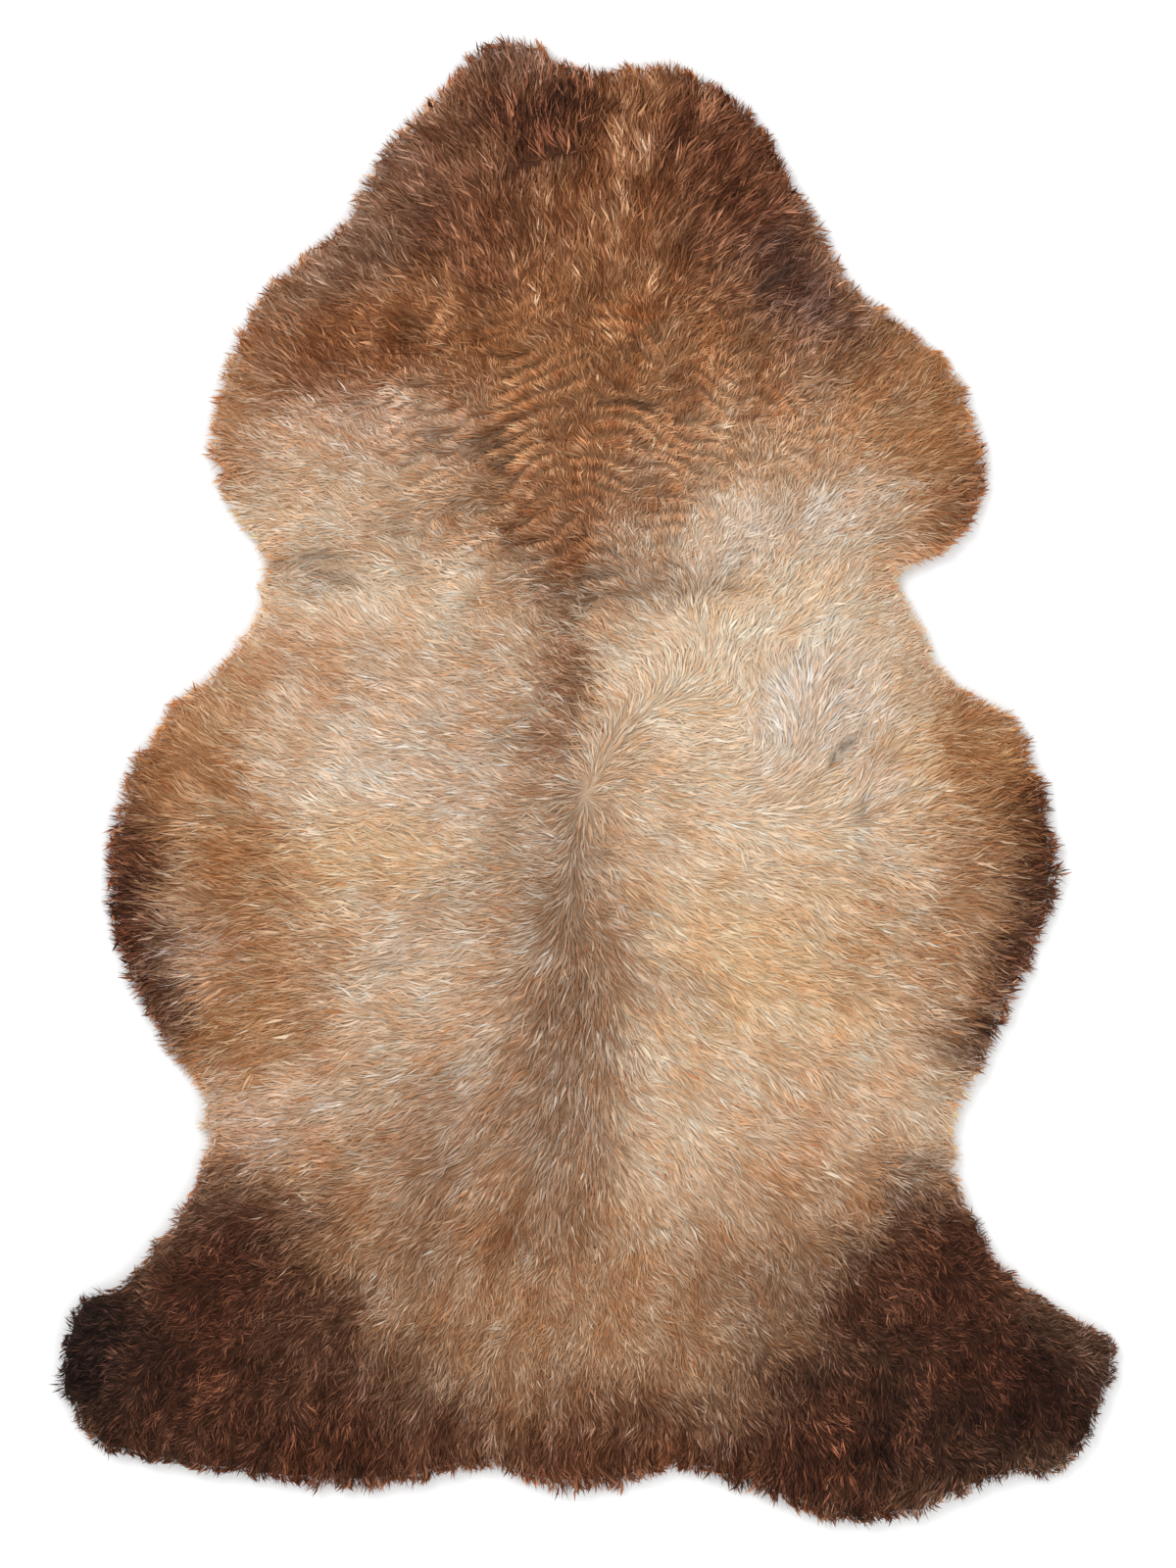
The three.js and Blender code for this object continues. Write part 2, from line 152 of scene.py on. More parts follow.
# Colour patches of the fleece, laid over each other in this order on a ground of fawn.
# Each is an oval, long along its bearing, and counts by its share.
Patch = namedtuple("Patch", "at x y long wide turn shade share")
PATCHES = [
    Patch("right side", 135, -40, 430, 250, 90, SAND, 0.95),
    Patch("left side", -150, 10, 400, 250, 90, SAND, 0.85),
    Patch("left side silver", -115, 5, 280, 140, 90, SILVER, 0.35),
    Patch("right ribs", 120, 85, 220, 120, 0, CREAM, 0.9),
    Patch("right side light", 120, -10, 170, 110, 90, CREAM, 0.3),
    Patch("behind the left shoulder", -140, 165, 170, 90, 5, CREAM, 0.5),
    Patch("left ribs light", -115, 105, 140, 70, 0, CREAM, 0.5),
    Patch("left ribs golden", -185, 72, 150, 60, 0, FAWN, 0.85),
    Patch("left side golden", -150, -55, 170, 60, 0, GOLD, 0.75),
    Patch("right flank golden", 195, 10, 110, 80, 0, GOLD, 0.7),
    Patch("right side golden", 115, -120, 170, 100, 0, GOLD, 0.75),
    Patch("right loin golden", 155, -225, 150, 70, 0, FAWN, 0.6),
    Patch("left flank", -275, 15, 160, 90, 65, GINGER, 0.9),
    Patch("left flank inner", -228, -72, 140, 80, 95, GINGER, 0.9),
    Patch("left flank shade", -228, -72, 120, 60, 95, HAZEL, 0.3),
    Patch("left belly", -225, -160, 110, 60, 15, GINGER, 0.9),
    Patch("left belly pale", -255, -118, 60, 40, 60, ROSE, 0.7),
    Patch("left flank rim", -314, -70, 190, 74, 92, DARK_CHESTNUT, 1.0),
    Patch("left flank rim middle", -300, -100, 110, 56, 96, CHOCOLATE, 0.8),
    Patch("left flank rim low", -292, -138, 90, 50, -60, CHOCOLATE, 0.85),
    Patch("left side ginger", -180, -110, 80, 50, 10, GINGER, 0.5),
    Patch("left side shade", -85, -72, 80, 50, 10, TAUPE, 0.4),
    Patch("right side ginger", 185, -105, 80, 70, 60, TAN, 0.5),
    Patch("right side speckle", 255, -85, 170, 80, 80, TAN, 0.95),
    Patch("right flank", 278, 10, 150, 86, -65, GINGER, 1.0),
    Patch("right flank edge", 312, -10, 80, 44, -80, CHESTNUT, 0.8),
    Patch("right flank rim", 308, -72, 150, 70, 88, CHOCOLATE, 0.95),
    Patch("right belly rim", 280, -150, 140, 62, 62, CHOCOLATE, 0.95),
    Patch("spine front", -10, 85, 210, 24, 88, CHESTNUT, 0.7),
    Patch("left of the spine", -65, 40, 110, 60, 80, TAN, 0.4),
    Patch("spine middle", -25, -45, 140, 70, 90, TAUPE, 0.4),
    Patch("spine back", -10, -150, 170, 70, 90, COCOA, 0.85),
    Patch("right of the spine", 45, -130, 70, 40, -20, TAUPE, 0.6),
    Patch("loin", -70, -220, 170, 80, 10, TAUPE, 0.75),
    Patch("right loin pale", 52, -240, 150, 80, 85, SAND, 0.7),
    Patch("rump", 0, -345, 340, 150, 0, TAN, 0.75),
    Patch("rump spine", -18, -265, 120, 56, 85, COCOA, 0.7),
    Patch("rump left", -108, -290, 100, 70, 60, COCOA, 0.7),
    Patch("rump ginger", -56, -312, 60, 30, 70, HAZEL, 0.75),
    Patch("rump pale left", -60, -368, 100, 60, 0, TAN, 0.6),
    Patch("rump pale right", 30, -350, 90, 80, 0, TAN, 0.6),
    Patch("rump right", 125, -325, 100, 70, 0, COCOA, 0.6),
    Patch("left hip", -172, -278, 90, 70, -30, TAN, 0.8),
    Patch("right hip", 160, -275, 100, 50, 0, TAN, 0.7),
    Patch("left thigh edge", -182, -345, 150, 50, -60, DARK_CHESTNUT, 0.85),
    Patch("left leg", -300, -405, 240, 190, 0, ESPRESSO, 0.95),
    Patch("left thigh", -245, -336, 170, 112, 80, CHOCOLATE, 1.0),
    Patch("left breech", -175, -442, 240, 130, 0, CHOCOLATE, 1.0),
    Patch("left leg tip", -340, -375, 90, 90, 60, BLACK_BROWN, 1.0),
    Patch("rump edge", 0, -458, 250, 76, 0, DARK_CHESTNUT, 0.95),
    Patch("tail", 12, -425, 80, 60, 0, DARK_CHESTNUT, 0.7),
    Patch("rump edge right", 78, -460, 80, 50, 0, CHESTNUT, 0.8),
    Patch("right thigh edge", 186, -350, 150, 56, 62, DARK_CHESTNUT, 0.85),
    Patch("right breech", 168, -452, 220, 150, 0, CHOCOLATE, 1.0),
    Patch("right leg", 295, -405, 270, 180, -15, ESPRESSO, 1.0),
    Patch("right thigh", 244, -326, 130, 110, 95, CHOCOLATE, 1.0),
    Patch("right leg tip", 352, -385, 50, 80, 0, PEAT, 0.2),
    Patch("left waist", -222, -226, 100, 50, 0, ROSE, 0.8),
    Patch("right waist", 232, -220, 90, 60, 0, SAND, 0.7),
    Patch("shoulders", 0, 300, 480, 160, 0, HAZEL, 0.95),
    Patch("saddle", -15, 205, 190, 140, 90, HAZEL, 0.85),
    Patch("saddle dark curls", 44, 195, 100, 60, 60, COCOA, 0.3),
    Patch("saddle middle", -15, 175, 110, 40, 85, CHESTNUT, 0.4),
    Patch("neck", 0, 430, 330, 200, 0, CHESTNUT, 0.95),
    Patch("neck middle", 0, 350, 130, 90, 0, HAZEL, 0.3),
    Patch("neck left side", -118, 395, 120, 70, 60, PEAT, 0.65),
    Patch("left shoulder grey", -175, 335, 150, 56, 35, COCOA, 0.8),
    Patch("left shoulder dark", -172, 338, 110, 44, 35, PEAT, 0.4),
    Patch("neck crest", -30, 440, 96, 60, 15, CHOCOLATE, 0.95),
    Patch("neck left lobe", -62, 488, 80, 40, 10, PEAT, 0.7),
    Patch("neck golden streak", 38, 455, 90, 36, 75, HAZEL, 0.5),
    Patch("neck right", 85, 430, 80, 60, -40, DARK_CHESTNUT, 0.9),
    Patch("neck right side", 108, 382, 130, 100, -60, DARK_CHESTNUT, 0.95),
    # Painted shade in the hollow at the right of the neck
    Patch("neck right hollow", 132, 335, 70, 44, -50, PEAT, 0.95),
    Patch("neck left", -78, 358, 100, 70, 40, DARK_CHESTNUT, 0.8),
    Patch("left shoulder light", -112, 318, 80, 34, 0, GINGER, 0.5),
    Patch("left shoulder", -175, 284, 180, 64, 12, CHESTNUT, 0.95),
    Patch("left shoulder fawn", -160, 234, 150, 46, 5, ROSE, 0.7),
    Patch("left of the saddle", -112, 172, 100, 40, 0, GINGER, 0.4),
    Patch("left ribs pale", -105, 130, 140, 30, 0, SAND, 0.4),
    Patch("left shoulder edge", -242, 240, 100, 60, 80, TAN, 0.85),
    Patch("right shoulder fawn", 120, 222, 120, 50, 20, TAN, 0.6),
    Patch("right shoulder grey", 170, 295, 130, 64, -35, PEAT, 0.65),
    Patch("right shoulder", 222, 255, 120, 90, 80, GINGER, 0.7),
    Patch("right foreleg", 222, 198, 110, 90, 60, GINGER, 0.6),
    Patch("right foreleg rim", 262, 190, 90, 46, 72, CHESTNUT, 0.9),
    Patch("right whorl pale", 125, 165, 140, 66, 15, SAND, 0.8),
    Patch("right whorl tips", 135, 170, 100, 36, 15, SILVER, 0.6),
    Patch("right parting shade", 40, 135, 100, 26, 0, TAUPE, 0.7),
    Patch("right whorl silver", 152, 45, 100, 64, 60, SILVER, 0.8),
    Patch("below the right whorl", 188, 0, 90, 30, 88, SILVER, 0.6),
    Patch("left armpit shade", -180, 142, 90, 24, 5, TAUPE, 0.5),
]

# The way the wool lies, and how far its arrows are evened out
FLOW_BLUR = 20.0
Arrow = namedtuple("Arrow", "at x y bearing")
FLOW = [
    Arrow("neck left lobe", -55, 480, 105),
    Arrow("nape", 10, 465, 88),
    Arrow("neck right corner", 80, 440, 58),
    Arrow("neck left side", -120, 405, 145),
    Arrow("neck right side", 125, 375, 30),
    Arrow("neck middle", 0, 390, 92),
    Arrow("left shoulder top", -190, 310, 142),
    Arrow("left shoulder inner", -110, 310, 138),
    Arrow("withers", -10, 300, 105),
    Arrow("right shoulder inner", 100, 300, 45),
    Arrow("right shoulder top", 190, 300, 38),
    Arrow("left foreleg", -230, 240, 160),
    Arrow("left shoulder middle", -140, 230, 152),
    Arrow("left of the spine, shoulders", -60, 200, 158),
    Arrow("right of the spine, shoulders", 50, 220, 22),
    Arrow("right foreleg", 240, 220, 20),
    Arrow("right foreleg end", 245, 175, 5),
    Arrow("right shoulder whorl", 110, 190, 70),
    Arrow("left armpit", -200, 150, 176),
    Arrow("left ribs", -120, 100, 152),
    Arrow("left ribs outer", -220, 85, 150),
    Arrow("left of the spine, ribs", -40, 70, 168),
    Arrow("right of the spine, ribs", 40, 95, 150),
    Arrow("right ribs", 120, 110, 35),
    Arrow("right waist", 210, 95, 25),
    Arrow("right ribs low", 70, 30, -10),
    Arrow("right whorl left", 130, 55, 125),
    Arrow("right whorl right", 165, 45, 50),
    Arrow("right flank top", 270, 30, 5),
    Arrow("left flank top", -270, 20, 148),
    Arrow("left flank", -300, -60, 172),
    Arrow("left side", -170, -40, 170),
    Arrow("left side inner", -70, -50, 176),
    Arrow("right side inner", 50, -60, -30),
    Arrow("right side", 150, -70, -25),
    Arrow("right flank", 290, -70, -8),
    Arrow("left belly end", -260, -150, 195),
    Arrow("left loin", -130, -160, 182),
    Arrow("right loin", 100, -170, -32),
    Arrow("right belly end", 260, -160, -22),
    Arrow("left hip", -190, -235, 188),
    Arrow("left of the spine, loin", -40, -220, 222),
    Arrow("right of the spine, loin", 40, -230, -42),
    Arrow("right hip", 190, -230, -30),
    Arrow("left thigh", -240, -310, 205),
    Arrow("left rump", -100, -350, 238),
    Arrow("right rump", 90, -350, -52),
    Arrow("right thigh", 240, -310, -42),
    Arrow("left leg end", -335, -385, 190),
    Arrow("left leg heel", -310, -435, 235),
    Arrow("left breech", -170, -450, 258),
    Arrow("tail", -10, -450, 268),
    Arrow("right breech", 180, -470, -82),
    Arrow("right leg heel", 310, -440, -68),
    Arrow("right leg end", 330, -375, -38),
]

# Zones of pile, as ovals with their coats. A coat has the share of places with a fibre, the length
# of the fibres, the degrees at which they leave the skin and at which their tips lie, the degrees
# by which their waves turn them and by which they are tousled, how far they gather in locks, and
# how strong the darker streaks are.
Coat = namedtuple("Coat", "share length rise tip wave tousle gather streak")
GROUND_COAT = Coat(0.74, 17.0, 9, 2, 8, 9, 0.12, 1.0)
Pile = namedtuple("Pile", "at x y long wide turn coat")
PILES = [
    Pile("spine", -5, 0, 260, 60, 90, Coat(0.76, 17.0, 13, 5, 14, 16, 0.2, 1.0)),
    Pile("curly shoulders", 0, 230, 340, 240, 0, Coat(0.9, 11.0, 20, 8, 36, 12, 0.25, 1.0)),
    Pile("neck", 0, 420, 330, 170, 0, Coat(0.72, 19.0, 12, 4, 18, 10, 0.2, 1.5)),
    Pile("rump", 0, -370, 420, 150, 0, Coat(0.86, 11.0, 17, 7, 8, 18, 0.1, 1.0)),
    Pile("left leg", -270, -380, 220, 220, 0, Coat(0.9, 9.0, 22, 10, 0, 30, 0.1, 1.0)),
    Pile("right leg", 270, -380, 220, 240, 0, Coat(0.9, 9.0, 22, 10, 0, 30, 0.1, 1.0)),
    Pile("left waist", -225, 100, 90, 50, 60, Coat(0.9, 10.0, 12, 4, 8, 7, 0.1, 1.0)),
    Pile("right waist", 222, 85, 110, 50, -60, Coat(0.9, 10.0, 12, 4, 8, 7, 0.1, 1.0)),
]
WAVE_LENGTH = 11.0  # of the crimp in the wool
CRIMP_OUT, CRIMP_UP = 0.35, 0.94  # the way the waves run
CURL_START, CURL_FULL = 12, 36  # degrees of wave from which wool curls, and curls in full
LEAST_CLIMB = 0.4  # of a fibre up a wave, also where it runs along it
CURL_LENGTH = 16.0  # of the longest fibres in a curl
CURL_OVERLAP = 2.0  # the most by which they reach past its crest
CURL_SHADE = 1.7  # how much lighter its tips are painted than its roots, as a logarithm: painted light and shade for the curl's relief

# Partings, where the wool falls to both sides and the shade below shows
Parting = namedtuple("Parting", "at x y long wide turn push")
PARTINGS = [
    Parting("between the shoulders", 28, 254, 46, 7, -4, 0.85),
    Parting("withers left", -70, 225, 40, 9, 20, 0.55),
    Parting("right of the spine", 45, 128, 130, 8, 2, 0.3),
    Parting("on the spine", 0, 132, 60, 7, 60, 0.3),
    Parting("left armpit", -185, 150, 60, 7, 8, 0.5),
    Parting("left armpit, below", -170, 138, 50, 7, -14, 0.4),
    Parting("neck right", 132, 338, 44, 10, 40, 0.7),
    Parting("right whorl", 174, 22, 24, 8, 50, 0.85),
    Parting("below the right whorl", 184, -30, 60, 6, 84, 0.4),
    Parting("neck crest", -30, 418, 90, 12, 14, 0.5),
    Parting("spine, ribs", -7, 80, 210, 8, 88, 0.36),
    Parting("spine, loin", -6, -90, 160, 6, 92, 0.25),
]
PARTING_REACH = 9.0  # how far from it the wool is pushed away
PARTING_LENGTH = 7.0  # of the fibres along it, which are painted dark as shade
PARTING_SPREAD = 30  # degrees by which they stray
PARTING_PULL = 0.9  # how far its push turns the wool, against the lay
PARTING_EDGE = 0.45  # the depth from which a point is inside it
PARTING_SHADE = 0.8  # how much darker fibres are painted at its deepest, as shade
FELT_SHADE = 0.4  # and the underwool there, also painted shade

# The stage, in metres and watts
FLOOR_SIZE = 12
SKY_LIGHT = 0.97  # even white light from all round
Lamp = namedtuple("Lamp", "name place size power")
LAMPS = [
    Lamp("key", (-1.5, 1.6, 2.4), 1.6, 42),
    Lamp("fill", (1.8, -1.2, 2.2), 2.2, 17),
]
CAMERA_PLACE = (0.001, -0.0007, 3.2)
CROWN_HEIGHT = 0.02  # of the wool, where the picture is measured
PICTURE_HEIGHT = 1.0528  # what it takes in there, from top to bottom


def linear(shade):
    """An sRGB hex shade as linear red, green and blue."""
    srgb = np.array([int(shade[i : i + 2], 16) for i in (0, 2, 4)]) / 255
    return np.where(srgb <= 0.04045, srgb / 12.92, ((srgb + 0.055) / 1.055) ** 2.4)


def heading(bearing):
    """Unit vectors for bearings in degrees."""
    turn = np.radians(bearing)
    return np.stack([np.cos(turn), np.sin(turn)], -1)


def unit(vectors):
    """Vectors brought to a length of 1."""
    return vectors / np.linalg.norm(vectors, axis=-1, keepdims=True)


def turned(way, degrees):
    """Unit vectors turned by angles in degrees."""
    turn = np.radians(degrees)
    cos, sin = np.cos(turn), np.sin(turn)
    return np.stack([way[:, 0] * cos - way[:, 1] * sin, way[:, 0] * sin + way[:, 1] * cos], 1)


def ripple(at, wave, seed):
    """Smooth random waves over the skin, about -1 to 1, with crests about a wave apart."""
    draw = np.random.default_rng(seed)
    ways = heading(draw.uniform(0, 360, RIPPLES)) * draw.uniform(0.7, 1.4, (RIPPLES, 1)) / wave
    phases = at @ ways.T + draw.uniform(0, 1, RIPPLES)
    return np.sin(2 * np.pi * phases).sum(1) / math.sqrt(RIPPLES)


def drifted(at, wave, far, seed):
    """Points moved by smooth random waves."""
    return at + far * np.stack([ripple(at, wave, seed), ripple(at, wave, seed + 1)], 1)


def along_and_across(at, row):
    """Distances of points along and across a row's bearing."""
    way = heading(row.turn)
    offset = at - (row.x, row.y)
    return offset @ way, offset @ (-way[1], way[0])


def within(at, row):
    """How far points lie within an oval row: 1 in its middle, a half at its edge, 0 beyond."""
    along, across = along_and_across(at, row)
    half_at_edge = 0.7
    return np.exp(-half_at_edge * np.hypot(2 * along / row.long, 2 * across / row.wide) ** 3)


def wool_colour(at):
    """The fleece's own colour at points of the skin."""
    spread = drifted(drifted(at, wave=60, far=8, seed=21), wave=16, far=4, seed=31)
    colour = np.tile(linear(FAWN), (len(at), 1))
    for patch in PATCHES:
        share = patch.share * within(spread, patch)
        colour += share[:, None] * (linear(patch.shade) - colour)
    return colour


def parted(at):
    """How deep points lie in a parting, and the push away from it."""
    depth = np.zeros(len(at))
    push = np.zeros((len(at), 2))
    spread = drifted(at, wave=35, far=3, seed=41)
    for row in PARTINGS:
        along, across = along_and_across(spread, row)
        near = row.push * np.exp(-((2 * along / row.long) ** 4))
        depth = np.maximum(depth, near * np.exp(-((2 * across / row.wide) ** 2)))
        side = near * np.sign(across) * np.exp(-((across / PARTING_REACH) ** 2))
        push += side[:, None] * heading(row.turn + 90)
    return np.c_[depth, push]


def lay(at):
    """The way the wool lies at points of the skin, as unit vectors."""
    way = np.zeros((len(at), 2))
    for arrow in FLOW:
        gap = ((at - (arrow.x, arrow.y)) ** 2).sum(1)
        way += heading(arrow.bearing) / ((gap + FLOW_BLUR**2) ** 1.5)[:, None]
    return unit(way)


def crimp(at):
    """The waves in the wool at points, counted up and out from the spine."""
    for wave, far, seed in ((45, 5, 91), (18, 1.8, 93), (6, 0.6, 95)):
        at = drifted(at, wave, far, seed)
    return (CRIMP_OUT * np.abs(at[:, 0]) + CRIMP_UP * at[:, 1]) / WAVE_LENGTH


def curl(at, wave):
    """How far wool with waves of so many degrees is gathered in rows of curls, here and there."""
    here = np.clip(0.75 + 0.45 * ripple(at, wave=60, seed=97), 0.3, 1)
    return np.clip((wave - CURL_START) / (CURL_FULL - CURL_START), 0, 1) * here


def streaks(at, wave, seed):
    """Smooth random waves drawn out along the lay of the wool."""
    step = wave * lay(at)
    return sum(ripple(at + share * step, wave, seed) for share in (-1.2, -0.6, 0, 0.6, 1.2)) / 3


def coat(at):
    """The coat at points of the skin."""
    kept = np.tile(np.array(GROUND_COAT, float), (len(at), 1))
    for row in PILES:
        share = within(at, row)[:, None]
        kept += share * (np.array(row.coat, float) - kept)
    return Coat(*kept.T)


def mapped(work_out, pitch):
    """A look-up of values that are worked out once, on a web over the skin."""
    low, high = (np.array(corner[:2]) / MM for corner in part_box(NODE))
    low, high = low - WEB_MARGIN, high + WEB_MARGIN
    web = np.mgrid[low[0] : high[0] : pitch, low[1] : high[1] : pitch]
    columns, rows = web.shape[1:]
    values = work_out(web.reshape(2, -1).T).reshape(columns, rows, -1)

    def look_up(at):
        column, row = ((at - low) / pitch).round().astype(int).T
        return values[column.clip(0, columns - 1), row.clip(0, rows - 1)]

    return look_up


# Pieces made from the CAD node


def merged_copy(name):
    """A copy of the skin's CAD node with its triangles joined, selected and active."""
    bpy.ops.object.select_all(action="DESELECT")
    piece = bpy.data.objects.new(name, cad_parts[NODE].data.copy())
    piece.data.name = name
    piece.data.materials.clear()
    bpy.context.scene.collection.objects.link(piece)
    piece.select_set(True)
    bpy.context.view_layer.objects.active = piece
    bpy.ops.object.mode_set(mode="EDIT")
    bpy.ops.mesh.select_all(action="SELECT")
    bpy.ops.mesh.remove_doubles(threshold=0.01 * MM)
    bpy.ops.object.mode_set(mode="OBJECT")
    return piece


def apply_modifier(piece, kind, **settings):
    """Adds a modifier with its settings and applies it."""
    modifier = piece.modifiers.new(kind.title(), kind)
    for name, value in settings.items():
        setattr(modifier, name, value)
    bpy.ops.object.modifier_apply(modifier=modifier.name)


def make_hide():
    """The leather: the node's flat lower face, cut free and thickened upwards."""
    piece = merged_copy("hide")
    bpy.ops.object.mode_set(mode="EDIT")
    bpy.ops.mesh.select_mode(type="FACE")
    bpy.ops.mesh.select_all(action="DESELECT")
    bpy.ops.object.mode_set(mode="OBJECT")
    straight_down = -0.99
    for face in piece.data.polygons:
        face.select = face.normal.z > straight_down
    bpy.ops.object.mode_set(mode="EDIT")
    bpy.ops.mesh.delete(type="FACE")
    bpy.ops.mesh.select_all(action="SELECT")
    bpy.ops.mesh.dissolve_limited(angle_limit=math.radians(1))
    bpy.ops.object.mode_set(mode="OBJECT")
    apply_modifier(piece, "SOLIDIFY", thickness=HIDE_THICKNESS * MM, offset=-1)
    return piece


def make_underwool():
    """The felted wool on the hide: the node drawn in and lumped into soft tufts."""
    piece = merged_copy("underwool")
    apply_modifier(piece, "REMESH", mode="VOXEL", voxel_size=UNDERWOOL_VOXEL * MM)
    apply_modifier(piece, "SMOOTH", iterations=2, factor=0.5)
    apply_modifier(piece, "DISPLACE", strength=-UNDERWOOL_SHRINK * MM, mid_level=0)
    tufts = bpy.data.textures.new("tufts", "CLOUDS")
    tufts.noise_scale = TUFT_WIDTH * MM
    apply_modifier(
        piece, "DISPLACE", texture=tufts, strength=2 * TUFT_LIFT * MM, mid_level=0.5, direction="Z"
    )
    for vertex in piece.data.vertices:
        vertex.co.z = max(vertex.co.z - UNDERWOOL_DROP * MM, UNDERWOOL_FLOOR * MM)
    bpy.ops.object.shade_smooth()
    return piece


# Fibres of the fleece


def drop(body, x, y):
    """Where a line dropped at a place, in metres, meets the underwool, and the normal there."""
    point, normal, _, _ = body.ray_cast(Vector((x, y, DROP_HEIGHT * MM)), Vector((0, 0, -1)))
    return point, normal


def crown_roots(body, rng):
    """Root points and normals on a jittered web over the crown of the underwool."""
    low, high = (np.array(corner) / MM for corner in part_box(NODE))
    web = np.mgrid[low[1] : high[1] : FIBRE_PITCH, low[0] : high[0] : FIBRE_PITCH]
    places = web[::-1].reshape(2, -1).T
    places = places + rng.uniform(-ROOT_JITTER, ROOT_JITTER, places.shape) * FIBRE_PITCH
    places = places[rng.random(len(places)) < coat(places).share]
    found = []
    for x, y in places * MM:
        point, normal = drop(body, x, y)
        if point and normal.z > RIM_SLOPE:
            found.append((*point, *normal))
    found = np.array(found)
    return found[:, :3] / MM, found[:, 3:]


def rim_roots(underwool, rng):
    """Root points and normals spread over the steep rim of the underwool."""
    mesh = underwool.data
    mesh.calc_loop_triangles()
    slopes = np.array([t.normal.z for t in mesh.loop_triangles])
    areas = np.array([t.area for t in mesh.loop_triangles]) / MM**2
    weight = np.where((slopes < RIM_SLOPE) & (slopes > UNDER_SLOPE), areas, 0)
    picked = rng.choice(len(areas), int(RIM_DENSITY * weight.sum()), p=weight / weight.sum())
    picked.sort()
    corners = np.array([t.vertices for t in mesh.loop_triangles])[picked]
    shares = rng.dirichlet((1, 1, 1), len(picked))[:, :, None]
    points = np.array([v.co for v in mesh.vertices]) / MM
    normals = np.array([v.normal for v in mesh.vertices])
    return (points[corners] * shares).sum(1), unit((normals[corners] * shares).sum(1))


Roots = namedtuple("Roots", "points normals at pile steep waves inside push")


def take_root(points, normals, creases):
    """What the skin is like at each root: its coat, slope and waves, and the parting it lies in."""
    at = points[:, :2]
    steep = np.clip((CROWN_SLOPE - normals[:, 2]) / (CROWN_SLOPE - STEEP_SLOPE), 0, 1)
    depth, push = np.split(creases(at), [1], 1)
    return Roots(points, normals, at, coat(at), steep, crimp(at), depth[:, 0] > PARTING_EDGE, push)


def nearest(at, centres):
    """The number of the nearest centre to each point."""
    tree = KDTree(len(centres))
    for i, (x, y) in enumerate(centres):
        tree.insert((x, y, 0), i)
    tree.balance()
    return np.array([tree.find((x, y, 0))[1] for x, y in at])


def heights(body):
    """A look-up of the height of the underwool, 0 past its rim."""

    def measure(at):
        found = (drop(body, x, y)[0] for x, y in at * MM)
        return np.array([point.z if point else 0 for point in found]) / MM

    return mapped(measure, GROUND_PITCH)


def lock_centres(at, rng):
    """The middles of the locks, on a jittered web."""
    low, high = at.min(0), at.max(0)
    cells = np.mgrid[low[0] : high[0] : LOCK_PITCH, low[1] : high[1] : LOCK_PITCH].reshape(2, -1).T
    return cells + rng.uniform(-0.5, 0.5, cells.shape) * LOCK_PITCH


def combed(roots, lock_turn, rng):
    """The way each fibre runs over the skin: with the lay, its waves and its lock, or along a parting."""
    way = unit(lay(roots.at) + PARTING_PULL * roots.push + RIM_PULL * roots.normals[:, :2])
    tousle = roots.pile.tousle
    swirl = ripple(roots.at, wave=50, seed=51) + ripple(roots.at, wave=17, seed=52)
    own_turn = (OWN_TURN + TOUSLED_TURN * tousle) * rng.normal(0, 1, len(way))
    wave_turn = roots.pile.wave * np.sin(2 * np.pi * roots.waves)
    way = turned(way, tousle * (swirl + LOCK_TURN * lock_turn) + wave_turn + own_turn)
    inside = roots.inside
    across = 90 + PARTING_SPREAD * rng.normal(0, 1, inside.sum())
    way[inside] = turned(unit(roots.push[inside]), across)
    return way


def fibre_lengths(roots, way, edge, creases, rng):
    """How long each fibre is: shorter at the rim, up to the crest of a curl, and clear of partings."""
    steep, waves = roots.steep, roots.waves
    full = roots.pile.length
    to_rim = np.linalg.norm(roots.at - edge[nearest(roots.at, edge)], axis=1)
    length = np.minimum(full, to_rim + RIM_SHARE * full)
    length = length * rng.uniform(SHORTEST - RIM_SHORTER * steep, LONGEST + RIM_LONGER * steep)
    climb = CRIMP_OUT * np.sign(roots.at[:, 0]) * way[:, 0] + CRIMP_UP * way[:, 1]
    to_crest = (np.ceil(waves) - waves) * WAVE_LENGTH / np.maximum(climb, LEAST_CLIMB)
    to_crest = to_crest + rng.uniform(0, CURL_OVERLAP, len(way))
    length = length + curl(roots.at, roots.pile.wave) * (np.minimum(to_crest, CURL_LENGTH) - length)
    clear = np.ones(len(way))
    for step in np.linspace(1, 0.3, 8):
        reached = creases(roots.at + step * length[:, None] * way)[:, 0]
        clear = np.where(reached > PARTING_EDGE, step, clear)
    return np.where(roots.inside, PARTING_LENGTH, length * clear)


def aimed(forward, normals, degrees, length):
    """Steps of a length, forward and up from the skin at angles in degrees."""
    turn = np.radians(degrees)
    return (length * np.cos(turn))[:, None] * forward + (length * np.sin(turn))[:, None] * normals


def raised(roots, way, length, lock_lift, rng):
    """The root, bend and tip of each fibre, which rises from the skin and then lies over."""
    normals, steep = roots.normals, roots.steep
    rise = roots.pile.rise + steep * (RIM_RISE - roots.pile.rise)
    tip = roots.pile.tip + steep * (RIM_TIP - roots.pile.tip)
    flat = np.concatenate([way, np.zeros((len(way), 1))], 1)
    forward = unit(flat - normals * (flat * normals).sum(1, keepdims=True))
    sideways = np.cross(normals, forward)
    lift = LOCK_LIFT * lock_lift + rng.normal(0, OWN_LIFT, len(way))
    sway = SWAY * length * rng.normal(0, 1, len(way))
    lean = sway[:, None] * sideways
    start = roots.points + ROOT_LIFT * normals
    bend = start + aimed(forward, normals, rise + lift, length / 2) + lean
    end = bend + aimed(forward, normals, tip + lift, length / 2) - SWAY_BACK * lean
    return np.stack([start, bend, end], 1)


